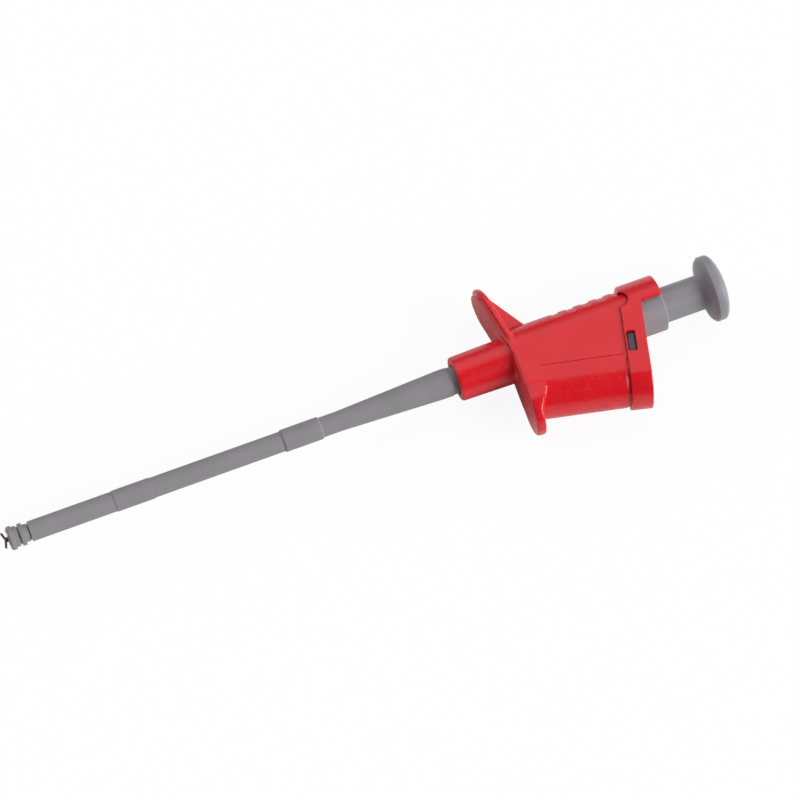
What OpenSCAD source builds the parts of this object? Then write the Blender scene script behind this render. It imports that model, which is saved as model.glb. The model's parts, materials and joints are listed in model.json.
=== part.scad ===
// Clamp-type test probe: a thumb plunger pushes two crossed claws out of a slim
// flexible stem, and a 4 mm safety socket in the handle takes a shrouded plug.
// X is the main axis, with the nozzle's mouth at x = 0 and the thumb button at +X.
// +Y is the side of the upper finger wing, -Y is the side of the socket, +Z is up.

/* [Stem] */
// Length of the nozzle in front of the thin tube
nozzle_len = 4.5; // [4:0.1:8]
// Outer diameter of the thin tube
tube_d = 4.34; // [4:0.02:5]
// Bore of the thin tube
tube_bore_d = 2.7; // [2.6:0.05:3]
// Length of thin tube that shows between the nozzle and the marker collar
tube_show = 55.5; // [30:0.5:90]
// Distance from the mouth to the thicker band on the thin tube
band_at = 23.0; // [10:0.5:50]
// Length of that band
band_len = 8.2; // [4:0.1:12]
// Diameter of that band
band_d = 4.58; // [4.4:0.02:5]
// Length of the marker collar
marker_len = 8.6; // [4:0.1:14]
// Length of the chamfers at the marker collar's ends
marker_chamfer = 0.3; // [0.2:0.1:0.6]
// Thickness of the shoulder inside the collar that the thin tube ends at
tube_stop = 1.0; // [0.6:0.1:2]
// Diameter of the marker collar
marker_d = 4.86; // [4.7:0.02:6]
// Length of the tapered stem behind the marker collar
taper_len = 28.8; // [15:0.1:45]
// Length of the parallel stretch at the thin end of the taper
taper_start = 3.8; // [1:0.1:8]
// Diameter at the thin end of the taper
taper_front_d = 4.3; // [4.2:0.05:4.6]
// Diameter at the thick end of the taper
taper_rear_d = 6.2; // [6.1:0.02:7]
// Length of the parallel stretch at the thick end of the taper
taper_flat = 2.2; // [1:0.1:8]
// Length of the chamfer between the taper and its neck
neck_chamfer = 0.3; // [0.2:0.1:1]
// Diameter of the neck that enters the nose sleeve
neck_d = 5.9; // [5.2:0.1:6]
// Length of neck that shows in front of the nose sleeve
neck_show = 1.2; // [0.5:0.1:5]
// Thickness of the stem's root flange inside the handle
root_flange_t = 1.5; // [1:0.1:2.5]
// Bore of the slippery liner
liner_bore_d = 1.5; // [1.3:0.05:1.7]

/* [Nozzle] */
// Diameter of the nozzle's front ring
ring_d = 5.1; // [4.9:0.05:5.6]
// Chamfer on the nozzle's front edge
ring_lip = 0.2; // [0.1:0.05:0.3]
// Length of the nozzle's front ring
ring_len = 0.85; // [0.5:0.05:1.2]
// Diameter of the nozzle's second ring
ring2_d = 4.78; // [4.7:0.02:5]
// Distance from the front ring to the second ring
ring_gap = 1.3; // [1:0.1:2]
// Length of the nozzle's second ring
ring2_len = 0.9; // [0.5:0.05:1]
// Diameter of the nozzle between its two rings
nozzle_d = 4.44; // [4.2:0.02:4.6]
// Diameter at the bottom of the groove in front of the second ring
groove_d = 3.7; // [3.5:0.05:4.1]
// Width of that groove
groove_w = 0.36; // [0.2:0.02:0.5]
// Diameter of the neck behind the second ring
nozzle_neck_d = 3.8; // [3.7:0.05:4]
// Width of the gap between that neck and the thin tube
joint_gap = 0.3; // [0.2:0.05:0.4]
// Bore of the nozzle
nozzle_bore_d = 2.8; // [2.8:0.05:3]
// Length of the spigot inside the tube
spigot_len = 2.4; // [1.5:0.1:4]
// Diameter of that spigot
spigot_d = 3.4; // [3.2:0.05:3.6]
// Outer diameter of the metal bush in the mouth
mouth_bush_d = 3.9; // [3.8:0.05:4]
// Bore of the metal bush
mouth_bush_bore_d = 3.2; // [3.15:0.05:3.3]
// Length of the metal bush inside the nozzle
mouth_bush_len = 0.8; // [0.5:0.05:0.85]
// Diameter of the rim on the front of the metal bush
mouth_rim_d = 4.4; // [4.2:0.05:4.6]
// Thickness of that rim
mouth_rim_t = 0.25; // [0.15:0.05:0.35]

/* [Handle] */
// Length of the nose sleeve
nose_len = 12.4; // [8:0.1:20]
// Diameter at the front of the nose sleeve
nose_front_d = 9.6; // [9:0.1:11]
// Diameter at the flange end of the nose sleeve
nose_rear_d = 10.1; // [9.6:0.1:11]
// Radius of the rounded front edge of the nose sleeve
nose_round = 0.5; // [0.3:0.1:1]
// Distance from the flange's front face to the end cap, on the plunger axis
body_len = 24.7; // [24:0.1:34]
// Distance from the flange's front face to the seat of the stem's root flange
root_depth = 1.2; // [0.8:0.1:2]
// Distance across the flat sides of the handle
body_w = 12.4; // [12:0.1:14]
// Height of the handle's top above the plunger axis
body_top = 6.05; // [6:0.05:7]
// Radius of the handle's rounded top edges
top_round = 5.9; // [4:0.1:5.9]
// Diameter of the socket barrel
barrel_d = 12.5; // [12.4:0.1:14]
// Height of the barrel's flat shoulder above the socket axis
shoulder_h = 3.0; // [2:0.1:4]
// Angle by which the socket axis leans away from the plunger axis
socket_tilt = 12.5; // [9:0.5:16]
// Distance from the plunger axis to the socket axis, at the end cap
socket_drop = 13.0; // [12.8:0.1:15]

/* [Finger flange] */
// Length of the upper wing from the plunger axis
upper_reach = 17.2; // [14:0.1:22]
// Length of the lower wing from the plunger axis
lower_reach = 17.7; // [15:0.1:22]
// Width of the wings
wing_w = 12.4; // [12:0.1:14]
// Thickness of the upper wing
upper_t = 2.0; // [1.8:0.1:3.2]
// Thickness of the lower wing
lower_t = 2.1; // [1.8:0.1:3.2]
// Rounding of the upper wing's edges
upper_round = 0.8; // [0.3:0.1:0.8]
// Rounding of the lower wing's edges
lower_round = 0.4; // [0.3:0.1:0.8]
// Angle by which the upper wing leans forward
upper_lean = 8.8; // [0:0.2:12]
// Angle by which the lower wing leans forward
lower_lean = 2.6; // [0:0.2:8]
// Distance from the upper wing's tip down to its gusset, on the wing's rear face
gusset_inset = 2.0; // [1.5:0.1:6]
// Length of the upper gusset at the height of the plunger axis
gusset_len = 8.7; // [5:0.1:10]
// Width of the upper gusset, narrower than the handle
gusset_w = 4.6; // [3:0.1:8]
// Distance along the lower wing to the end of its gusset
lower_gusset_end = 16.5; // [13:0.1:17]
// Depth below the plunger axis at which the lower gusset starts
lower_gusset_y = 9.0; // [8:0.1:11]
// Length of the lower gusset along the handle
lower_gusset_len = 4.5; // [3:0.1:6]

/* [Grip] */
// Number of shallow grooves across the handle's top
grip_count = 5; // [0:1:6]
// Distance from the end cap to the middle of the nearest groove, along the handle's top
grip_inset = 0.5; // [0:0.1:3]
// Distance from groove to groove
grip_pitch = 3.4; // [2.8:0.1:4]
// Width of a groove
grip_w = 1.9; // [1:0.1:2.4]
// Depth of a groove
grip_depth = 0.22; // [0.1:0.02:0.26]
// Height of a groove's lower ends above the plunger axis
grip_end_y = 3.6; // [2.5:0.1:4.5]

/* [End cap] */
// Length of the cap's band on the plunger axis
cap_len = 4.5; // [4.2:0.05:6]
// Angle by which the cap's front and rear faces lean
cap_tilt = 14.2; // [11:0.1:16]
// Distance across the cap's flat sides
cap_w = 13.4; // [13.2:0.1:15]
// Outer diameter of the cap's top and of the hood
hood_d = 14.0; // [13.8:0.1:15]
// Distance from the cap's front to the end of the hood
hood_reach = 9.4; // [8:0.1:14]
// Height of the hood's lower edges above the plunger axis
hood_edge_y = 0.4; // [0:0.1:2]
// Diameter of the cap around the socket
cap_barrel_d = 13.8; // [13.4:0.1:15]
// Wall of the cap's band
cap_wall = 0.95; // [0.7:0.05:1.1]
// Thickness of the cap's rear wall on the plunger axis
cap_rear_wall = 1.6; // [1.3:0.1:2.2]
// Radius of the half-round notches on the cap's shoulders
notch_r = 1.85; // [1.4:0.05:2.2]
// Height of the notches' middle above the plunger axis, along the cap
notch_y = 2.4; // [2:0.1:3]
// Width of a latch window
window_w = 1.85; // [1:0.05:2]
// Height of a latch window
window_h = 4.4; // [2:0.1:4.6]
// Distance from the plunger axis to the middle of a window, along the cap
window_drop = 7.4; // [7:0.1:8]
// Distance from the cap's front edge to a window
window_inset = 0.35; // [0.25:0.05:0.5]
// How deep a latch nose sits below the cap's flat side
latch_recess = 0.6; // [0.2:0.05:0.7]

/* [Plunger] */
// Travel of the plunger
stroke = 7.0; // [4:0.5:7]
// Diameter of the guide
guide_d = 10.3; // [9.8:0.1:10.4]
// Distance from the cap's front to the end of the guide, at rest
guide_reach = 9.9; // [8.5:0.1:12]
// How far the guide reaches into the handle, at rest
guide_in = 0.5; // [0.3:0.1:1]
// Length of the slope behind the guide
guide_slope = 0.7; // [0.3:0.1:1.5]
// Diameter of the shaft
shaft_d = 7.56; // [6.6:0.02:8]
// Length of the shaft from the guide to the button
shaft_len = 8.5; // [7.4:0.1:14]
// Diameter of the thumb button
button_d = 14.36; // [12:0.02:18]
// Length of the trumpet flare in front of the button's rim
flare_len = 1.3; // [1:0.1:4]
// How sharply the flare turns outward: 1 is a straight cone
flare_curve = 1.8; // [1:0.1:3]
// Thickness of the button's rim
rim_t = 2.0; // [1.4:0.1:3]
// Rounding of the rim's front edge
rim_round = 0.6; // [0.2:0.1:0.8]
// Height of the button's domed back
dome_h = 2.05; // [0.5:0.05:3]
// Diameter of the plunger's nose in the spring chamber
plunger_nose_d = 7.7; // [7:0.1:7.8]
// Length of the plunger's nose
plunger_nose_len = 4.0; // [3:0.1:6]
// Width of the key on top of the guide
key_w = 1.6; // [1:0.1:2.4]
// Height of the key
key_h = 0.3; // [0.2:0.05:0.35]

/* [Drive] */
// Diameter of the pull rod
rod_d = 2.0; // [1.6:0.1:2]
// Depth of the pull rod inside the plunger
rod_depth = 12.0; // [6:0.5:16]
// Diameter of the drive wire
wire_d = 1.0; // [0.7:0.1:1.1]
// Length of that crimp
crimp_len = 3.4; // [2.5:0.1:5]
// Length of wire inside that crimp
crimp_wire_len = 1.1; // [0.8:0.1:1.5]
// Gap between the claw ferrule and the liner, at rest
liner_gap = 1.5; // [1:0.1:3]
// Gap between the crimp and the rod bush, at rest
crimp_gap = 0.2; // [0.1:0.05:0.5]
// Thickness of the rod bush's flange
bush_t = 1.0; // [0.6:0.1:1.6]
// Length of the rod bush's boss
bush_boss_len = 2.5; // [1:0.1:4]
// Diameter of the rod bush's boss
bush_boss_d = 3.8; // [3:0.1:4.6]
// Diameter of the spring chamber
chamber_d = 8.0; // [7.9:0.05:8.1]
// Thickness of the washer behind the spring
washer_t = 0.6; // [0.4:0.1:1]
// Mean diameter of the return spring
spring_mean_d = 6.0; // [5.4:0.1:6.4]
// Diameter of the spring's wire
spring_wire_d = 0.7; // [0.5:0.05:0.75]
// Number of turns of the return spring
spring_turns = 9; // [5:1:11]

/* [Claws] */
// Distance from the mouth to the claws' pivot pin, at rest
pivot_x = 8.0; // [7.9:0.1:8.5]
// Thickness of a claw
claw_t = 0.48; // [0.4:0.02:0.5]
// Width of a claw's arm
claw_w = 0.48; // [0.4:0.02:0.5]
// Gap between the two claws
claw_gap = 0.08; // [0.06:0.01:0.1]
// Distance of a claw's arm from the axis at its bend
claw_offset = 0.48; // [0.45:0.01:0.5]
// How far inside the mouth a claw bends, at rest
bend_in = 0.3; // [0.2:0.1:0.6]
// How far outside the mouth the claws cross, at rest
cross_out = 0.65; // [0.55:0.05:0.8]
// How far a claw's point stands out of the mouth, at rest
point_out = 1.15; // [1:0.05:1.4]
// How far a claw's point lies across the axis
point_cross = 1.7; // [1.2:0.05:1.8]
// Diameter of the pivot pin
pin_d = 0.4; // [0.3:0.02:0.44]
// Diameter of a claw's eye
eye_d = 1.2; // [1:0.05:1.3]
// Diameter of the claw ferrule
ferrule_d = 2.3; // [2.2:0.05:2.3]
// Length of the claw ferrule behind the pivot
ferrule_len = 5.2; // [4:0.1:6]
// Length of the ferrule's fork in front of the pivot
fork_len = 0.8; // [0.5:0.05:1]

/* [Socket] */
// Bore of the contact sleeve
socket_bore_d = 4.0; // [4:0.02:4.1]
// Outer diameter of the contact sleeve
contact_d = 5.2; // [4.8:0.1:5.4]
// Depth of the contact sleeve's bore
socket_bore_len = 13.0; // [12:0.1:13.5]
// Outer diameter of the inner insulator
insulator_d = 6.9; // [6.8:0.1:7.2]
// Diameter of the space for the plug's shroud
shroud_d = 11.1; // [11:0.05:11.3]
// Distance from the cap's front to the bottom of the shroud space
shroud_depth = 12.0; // [11:0.1:12.4]
// Distance from the cap's front to the insulator's open end
insulator_reach = 3.6; // [3:0.1:4]
// Distance from the cap's front to the contact's open end
contact_reach = 2.4; // [1.6:0.1:2.8]
// Step between the space for the shroud and the insulator's base
base_step = 0.55; // [0.4:0.05:1]
// Thickness of the insulator's base
base_t = 1.5; // [1:0.1:2]
// Diameter of the contact's tail
tail_d = 3.0; // [2.4:0.1:3.2]
// Length of the contact's tail in front of the base
tail_len = 3.4; // [2.8:0.1:4]
// Distance across the flats of the nut
nut_af = 4.6; // [4.2:0.1:5]
// Thickness of the nut
nut_t = 1.6; // [1:0.1:2]
// Diameter of the pocket for the nut
pocket_d = 6.0; // [5.9:0.1:6.4]
// Depth of the pocket for the nut
pocket_len = 4.9; // [4.5:0.1:5.4]
// Thickness of the contact strap's plate
strap_t = 0.5; // [0.3:0.05:0.6]
// Thickness of the contact strap's leaf
leaf_t = 0.35; // [0.25:0.05:0.4]
// Width of the contact strap
strap_w = 2.2; // [1.6:0.1:2.6]

/* [Insert] */
// Wall of the insert beside its wider bore
insert_wall = 0.15; // [0.1:0.01:0.3]
// Length of the arms that lock the insert in the handle
arm_len = 6.0; // [3:0.1:6.4]
// Height of an arm
arm_h = 2.2; // [1.4:0.1:2.2]
// Thickness of an arm
arm_t = 1.5; // [1:0.1:1.5]
// Distance of an arm's outer face from the middle plane
arm_z = 4.9; // [4.6:0.1:4.9]
// Distance of an arm's lower face from the plunger axis
arm_y = 7.0; // [6.8:0.1:7]

/* [Fits] */
// Radial clearance of the crimp in the stem
crimp_clear = 0.1; // [0.08:0.01:0.12]
// Radial clearance of the guide and of the rod
slide_clear = 0.08; // [0.05:0.01:0.1]
// Clearance between pieces that are fixed to each other
seat_clear = 0.05; // [0.02:0.01:0.08]
// Radial clearance of a claw on its pin
pin_clear = 0.03; // [0.02:0.01:0.05]

/* [Hidden] */
$fn = 72;
over = 0.5;
far = 60;

// stations along the main axis
spigot_end = nozzle_len + spigot_len;
marker_x0 = nozzle_len + tube_show;
band_x1 = band_at + band_len;
marker_x1 = marker_x0 + marker_len;
tube_x1 = marker_x1 - tube_stop;
taper_x1 = marker_x1 + taper_len;
nose_x0 = taper_x1 + neck_show;
flange_x = nose_x0 + nose_len;
cap_x = flange_x + body_len;
root_x0 = flange_x + root_depth;
root_x1 = root_x0 + root_flange_t;
grip_x0 = cap_x + body_top * tan(cap_tilt) - grip_inset;
guide_x0 = cap_x - guide_in;
guide_x1 = cap_x + guide_reach;
shaft_x1 = guide_x1 + shaft_len;
nose_tip_x = guide_x0 - plunger_nose_len;
spring_x0 = root_x1 + bush_t;
spring_x1 = nose_tip_x - washer_t;
crimp_x1 = root_x1 - crimp_gap;
crimp_x0 = crimp_x1 - crimp_len;
wire_x1 = crimp_x0 + crimp_wire_len;
slot_back = pivot_x + eye_d / 2 + 0.1;
wire_x0 = slot_back + 1.0;
ferrule_x1 = pivot_x + ferrule_len;
liner_x0 = ferrule_x1 + liner_gap;
liner_x1 = crimp_x0 - stroke - seat_clear;
wide_x0 = guide_x0 - stroke - slide_clear;
hood_x1 = cap_x + hood_reach;

// radii and half widths
liner_d = tube_bore_d - 2 * seat_clear;
crimp_d = tube_bore_d - 2 * crimp_clear;
base_d = shroud_d - 2 * base_step;
guide_bore_r = guide_d / 2 + slide_clear;
insert_z = max(guide_bore_r, shroud_d / 2) + insert_wall;
key_top = guide_d / 2 + key_h;
fork_gap = claw_t + claw_gap / 2 + 0.08;
wing_r = wing_w / 2;
base_x = -shroud_depth - base_t;
plate_x = base_x - strap_t;
leaf_y = root_flange_r() + leaf_t;
tail_x = base_x - tail_len;

function root_flange_r() = chamber_d / 2 - slide_clear;
function socket_y(x) = -(socket_drop / cos(socket_tilt)) - (x - cap_x) * tan(socket_tilt);
function arc(cx, cy, r, a0, a1, n = 8) =
    [for (i = [0:n]) let (a = a0 + (a1 - a0) * i / n) [cx + r * cos(a), cy + r * sin(a)]];

// A cylinder along the main axis, from x0 to x1.
module x_rod(x0, x1, r) {
    translate([x0, 0, 0]) rotate([0, 90, 0]) cylinder(h = x1 - x0, r = r);
}

// A body turned about the main axis, from [radius, x] points.
module turned(points) {
    rotate([0, 90, 0]) rotate_extrude() polygon(points);
}

// A sleeve along the main axis.
module x_sleeve(x0, x1, r_out, r_in) {
    difference() {
        x_rod(x0, x1, r_out);
        x_rod(x0 - over, x1 + over, r_in);
    }
}

// A straight prism across the handle, from an outline in the X-Y plane.
module across(points, width) {
    translate([0, 0, -width / 2]) linear_extrude(width) polygon(points);
}

// The frame of the end cap: its X stands square on the cap's front face.
module cap_frame() {
    translate([cap_x, 0, 0]) rotate([0, 0, -cap_tilt]) children();
}

// The frame of the socket: its X is the socket axis, from beside the cap's front.
module socket_frame() {
    translate([cap_x, 0, 0]) rotate([0, 0, -socket_tilt])
        translate([0, -socket_drop, 0]) children();
}

// Everything in front of a plane that is parallel to the cap's front face.
module before_cap(x) {
    cap_frame() translate([x - far, -far, -far]) cube([far, 2 * far, 2 * far]);
}

// The rounded upper half of the handle, from x0 to x1, grown by g.
module top_form(x0, x1, g = 0) {
    r = top_round + g;
    y_c = body_top - top_round;
    z_c = body_w / 2 - top_round;
    for (s = [-1, 1]) translate([0, y_c, s * z_c]) x_rod(x0, x1, r);
    translate([x0, 0, -z_c]) cube([x1 - x0, body_top + g, 2 * z_c]);
    translate([x0, -over, -body_w / 2 - g]) cube([x1 - x0, y_c + over, body_w + 2 * g]);
}

// The flat-sided web between the plunger axis and the socket axis.
module web_form(x0, x1, width) {
    across([[x0, y_top()], [x1, y_top()], [x1, socket_y(x1)], [x0, socket_y(x0)]], width);
}
function y_top() = body_top - top_round;

// The shallow grooves across the rounded top, with half-round lower ends.
module grip_grooves() {
    difference() {
        for (i = [0:1:grip_count - 1])
            translate([grip_x0 - i * grip_pitch, grip_end_y + grip_w / 2, -far / 2]) {
                cylinder(h = far, r = grip_w / 2);
                translate([-grip_w / 2, 0, 0]) cube([grip_w, far, far]);
            }
        top_form(cap_x - far, cap_x + far, -grip_depth);
    }
}

// The frames of the two wings: X from the front face, Y along the wing.
module in_upper_wing() {
    translate([flange_x, 0, 0]) rotate([0, 0, upper_lean]) children();
}

module in_lower_wing() {
    translate([flange_x, 0, 0]) mirror([0, 1, 0]) rotate([0, 0, lower_lean]) children();
}

// A flat plate along Y with a half-round end of radius r around the height y_c.
module plate(x0, x1, r, y_c) {
    translate([x0, y_c, 0]) rotate([0, 90, 0]) cylinder(h = x1 - x0, r = r);
    translate([x0, -over, -r]) cube([x1 - x0, y_c + over, 2 * r]);
}

// One wing of thickness t in its own frame, its edges rounded by e all along its outline.
module wing(reach, t, e) {
    y_c = reach - wing_r;
    rim_r = wing_r - e;
    plate(0, t, rim_r, y_c);
    plate(e, t - e, wing_r, y_c);
    for (x = [e, t - e]) {
        translate([x, y_c, 0]) rotate([0, 90, 0]) rotate_extrude()
            translate([rim_r, 0]) circle(r = e);
        for (s = [-1, 1]) translate([x, -over, s * rim_r]) rotate([-90, 0, 0])
            cylinder(h = y_c + over, r = e);
    }
}

// A point in a wing that leans by an angle: its depth behind the front face, and how far along.
function wing_point(lean, depth, along) =
    [flange_x + depth * cos(lean) - along * sin(lean), along * cos(lean) + depth * sin(lean)];

module finger_flange() {
    root = [flange_x + upper_t / 2, 0];
    back = [flange_x + gusset_len, 0];
    low = wing_point(lower_lean, lower_t / 2, lower_gusset_end);
    top = upper_reach - gusset_inset;
    in_upper_wing() wing(upper_reach, upper_t, upper_round);
    in_lower_wing() wing(lower_reach, lower_t, lower_round);
    intersection() {
        across([root, wing_point(upper_lean, upper_t / 2, top),
            wing_point(upper_lean, upper_t, top), back], gusset_w);
        in_upper_wing() plate(-far, far, wing_r, upper_reach - wing_r);
    }
    intersection() {
        across([root, back, [flange_x + lower_gusset_len, -lower_gusset_y], [low[0], -low[1]]],
            body_w);
        in_lower_wing() plate(-far, far, wing_r, lower_reach - wing_r);
    }
}

module nose_sleeve() {
    r0 = nose_front_d / 2;
    r1 = nose_rear_d / 2;
    turned(concat(
        [[0, nose_x0]],
        arc(r0 - nose_round, nose_x0 + nose_round, nose_round, -90, 0),
        [[r1, flange_x + over], [0, flange_x + over]]
    ));
}

module handle_form() {
    intersection() {
        union() {
            top_form(flange_x, cap_x + far / 4);
            web_form(flange_x + over, cap_x + over, body_w);
        }
        before_cap(0);
    }
    intersection() {
        top_form(cap_x - far / 4, cap_x + far / 4);
        notch_form(notch_r - seat_clear);
    }
    front = -body_len / cos(socket_tilt) + lower_t;
    intersection() {
        socket_frame() union() {
            x_rod(front - over, 4 * over, barrel_d / 2);
            translate([front, 0, -barrel_d / 2]) cube([4 * over - front, shoulder_h, barrel_d]);
        }
        translate([flange_x + over, -far, -far]) cube(2 * far);
        before_cap(0);
    }
}

// The half-round shape of a lug or a notch of radius r, right across the cap's front.
module notch_form(r) {
    cap_frame() translate([0, notch_y, -far]) cylinder(h = 2 * far, r = r);
}

module strap_slots(gap) {
    w = strap_w + 2 * gap;
    socket_frame() translate([plate_x - gap, 0, -w / 2])
        cube([strap_t + 2 * gap, strap_h() + gap, w]);
    translate([root_x1, -leaf_y - gap, -w / 2])
        cube([leaf_x1() - root_x1 + gap, leaf_t * 2 + gap, w]);
}

// Where the strap's upright plate meets its leaf: the plate's height and the leaf's end.
function strap_h() = socket_drop
    - (root_flange_r() - plate_x * sin(socket_tilt)) / cos(socket_tilt);
function leaf_x1() = cap_x + plate_x * cos(socket_tilt) + strap_t / cos(socket_tilt)
    - (leaf_y + plate_x * -sin(socket_tilt)) / cos(socket_tilt) * sin(socket_tilt);

module arm_blocks(gap) {
    for (s = [-1, 1])
        translate([cap_x - arm_len - gap, -arm_y - gap, s * (arm_z - arm_t / 2) - arm_t / 2 - gap])
            cube([arm_len + over, arm_h + 2 * gap, arm_t + 2 * gap]);
}

module key_way(x0) {
    translate([x0, 0, -key_w / 2 - slide_clear])
        cube([far, key_top + slide_clear, key_w + 2 * slide_clear]);
}

module housing() {
    color([0.84, 0.16, 0.21]) difference() {
        union() {
            nose_sleeve();
            finger_flange();
            handle_form();
        }
        grip_grooves();
        x_rod(nose_x0 - over, root_x0 + over, neck_d / 2 + slide_clear);
        x_rod(nose_x0 - over, nose_x0 + neck_show, taper_rear_d / 2 + slide_clear * 2);
        x_rod(root_x0, cap_x, chamber_d / 2);
        x_rod(wide_x0, cap_x + far, guide_bore_r);
        key_way(wide_x0);
        socket_frame() {
            x_rod(-shroud_depth, far, shroud_d / 2);
            x_rod(base_x, 0, base_d / 2 + seat_clear);
            x_rod(base_x - pocket_len, 0, pocket_d / 2);
        }
        strap_slots(seat_clear);
        arm_blocks(seat_clear);
    }
}

// The inside of the cap's band between two planes, below the height top_y along the cap:
// s in from its round outer surfaces, and half_w wide on each side.
module band_form(x0, x1, s, half_w, top_y) {
    intersection() {
        union() {
            x_rod(cap_x - far / 4, cap_x + far / 4, hood_d / 2 - s);
            cap_barrel(-far / 4, far / 4, cap_barrel_d / 2 - s, half_w);
        }
        cap_frame() translate([x0, -far, -half_w]) cube([x1 - x0, far + top_y, 2 * half_w]);
    }
}

// The part of the cap around the socket, square to the cap's front, up to the plunger axis.
module cap_barrel(x0, x1, r, half_w) {
    drop = socket_drop / cos(cap_tilt - socket_tilt);
    cap_frame() translate([x0, -drop, 0]) {
        rotate([0, 90, 0]) cylinder(h = x1 - x0, r = r);
        translate([0, 0, -half_w]) cube([x1 - x0, drop, 2 * half_w]);
    }
}

// What lies behind the cap's rear face, below the hood's edges.
module rear_cut() {
    intersection() {
        cap_frame() translate([cap_len, -far / 2, -far / 2]) cube([far, far, far]);
        translate([0, hood_edge_y - far, -far / 2]) cube([4 * far, far, far]);
    }
}

// The cap's outer form: the top with its hood, the band and the part around the socket.
module cap_form() {
    difference() {
        intersection() {
            union() {
                x_rod(cap_x - over, hood_x1, hood_d / 2);
                cap_barrel(-4 * over, far / 4, cap_barrel_d / 2, cap_w / 2);
            }
            translate([cap_x - far, -far, -cap_w / 2]) cube([2 * far, 2 * far, cap_w]);
        }
        before_cap(0);
        rear_cut();
    }
}

module latch_windows() {
    cap_frame() translate([window_inset, -window_drop - window_h / 2, -far / 2])
        cube([window_w, window_h, far]);
}

module end_cap() {
    inner = cap_len - cap_rear_wall;
    color([0.86, 0.17, 0.22]) difference() {
        cap_form();
        band_form(-over, inner, cap_wall, insert_z + seat_clear, notch_y);
        notch_form(notch_r);
        x_rod(cap_x - far / 4, cap_x + far, guide_bore_r);
        key_way(cap_x - far / 4);
        socket_frame() x_rod(-far / 4, far / 2, shroud_d / 2);
        latch_windows();
    }
}

module guide_insert() {
    inner = cap_len - cap_rear_wall;
    nose_in = window_inset + seat_clear;
    color([0.33, 0.32, 0.35]) difference() {
        union() {
            band_form(seat_clear, inner - seat_clear, cap_wall + seat_clear, insert_z,
                notch_y - seat_clear);
            cap_frame() translate([nose_in, seat_clear - window_drop - window_h / 2,
                    latch_recess - cap_w / 2])
                cube([window_w - 2 * seat_clear, window_h - 2 * seat_clear,
                    cap_w - 2 * latch_recess]);
            arm_blocks(0);
        }
        notch_form(notch_r);
        x_rod(cap_x - far / 4, cap_x + far, guide_bore_r);
        key_way(cap_x - far / 4);
        socket_frame() x_rod(-far / 4, far / 2, shroud_d / 2);
    }
}

module stem_taper() {
    r0 = marker_d / 2;
    r1 = taper_front_d / 2;
    r2 = taper_rear_d / 2;
    color([0.55, 0.54, 0.56]) difference() {
        turned([
            [0, marker_x0], [r0 - marker_chamfer / 2, marker_x0], [r0, marker_x0 + marker_chamfer],
            [r0, marker_x1 - marker_chamfer], [r1, marker_x1], [r1, marker_x1 + taper_start],
            [r2, taper_x1 - taper_flat],
            [r2, taper_x1 - neck_chamfer], [neck_d / 2, taper_x1], [neck_d / 2, root_x0],
            [root_flange_r(), root_x0], [root_flange_r(), root_x1], [0, root_x1]
        ]);
        x_rod(marker_x0 - over, tube_x1, tube_d / 2 + seat_clear / 2);
        x_rod(marker_x0 - over, root_x1 + over, tube_bore_d / 2);
    }
}

module stem_tube() {
    color([0.53, 0.52, 0.54]) difference() {
        union() {
            x_rod(nozzle_len, tube_x1, tube_d / 2);
            x_rod(band_at, band_x1, band_d / 2);
        }
        x_rod(nozzle_len - over, tube_x1 + over, tube_bore_d / 2);
        x_rod(nozzle_len - over, spigot_end + seat_clear, spigot_d / 2 + seat_clear / 2);
    }
}

module wire_liner() {
    color([0.92, 0.92, 0.90]) x_sleeve(liner_x0, liner_x1, liner_d / 2, liner_bore_d / 2);
}

module tip_nozzle() {
    ring1_x = ring_lip + ring_len;
    ring2_x = ring1_x + ring_gap;
    neck_x = ring2_x + ring2_len;
    color([0.56, 0.55, 0.57]) difference() {
        turned([
            [0, 0], [ring_d / 2 - ring_lip, 0], [ring_d / 2, ring_lip], [ring_d / 2, ring1_x],
            [nozzle_d / 2, ring1_x], [nozzle_d / 2, ring2_x - groove_w],
            [groove_d / 2, ring2_x - groove_w], [groove_d / 2, ring2_x],
            [ring2_d / 2 - 0.1, ring2_x], [ring2_d / 2, ring2_x + 0.15],
            [ring2_d / 2, neck_x], [nozzle_neck_d / 2, neck_x],
            [nozzle_neck_d / 2, nozzle_len - joint_gap], [spigot_d / 2, nozzle_len - joint_gap],
            [spigot_d / 2, spigot_end], [0, spigot_end]
        ]);
        x_rod(-over, spigot_end + over, nozzle_bore_d / 2);
        x_rod(-over, mouth_bush_len, mouth_bush_d / 2);
    }
}

module mouth_bush() {
    color([0.83, 0.79, 0.76]) difference() {
        union() {
            x_rod(-mouth_rim_t, 0, mouth_rim_d / 2);
            x_rod(-mouth_rim_t, mouth_bush_len, mouth_bush_d / 2);
        }
        x_rod(-mouth_rim_t - over, mouth_bush_len + over, mouth_bush_bore_d / 2);
    }
}

module rod_bush() {
    color([0.80, 0.66, 0.34]) difference() {
        union() {
            x_rod(root_x1, spring_x0, root_flange_r());
            x_rod(root_x1, spring_x0 + bush_boss_len, bush_boss_d / 2);
        }
        x_rod(root_x1 - over, spring_x0 + bush_boss_len + over, rod_d / 2 + slide_clear);
    }
}

module socket_contact() {
    bottom = contact_reach - socket_bore_len;
    color([0.80, 0.79, 0.74]) socket_frame() difference() {
        union() {
            x_rod(bottom - 1, contact_reach, contact_d / 2);
            x_rod(tail_x, bottom, tail_d / 2);
        }
        x_rod(bottom, contact_reach + over, socket_bore_d / 2);
    }
}

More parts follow.
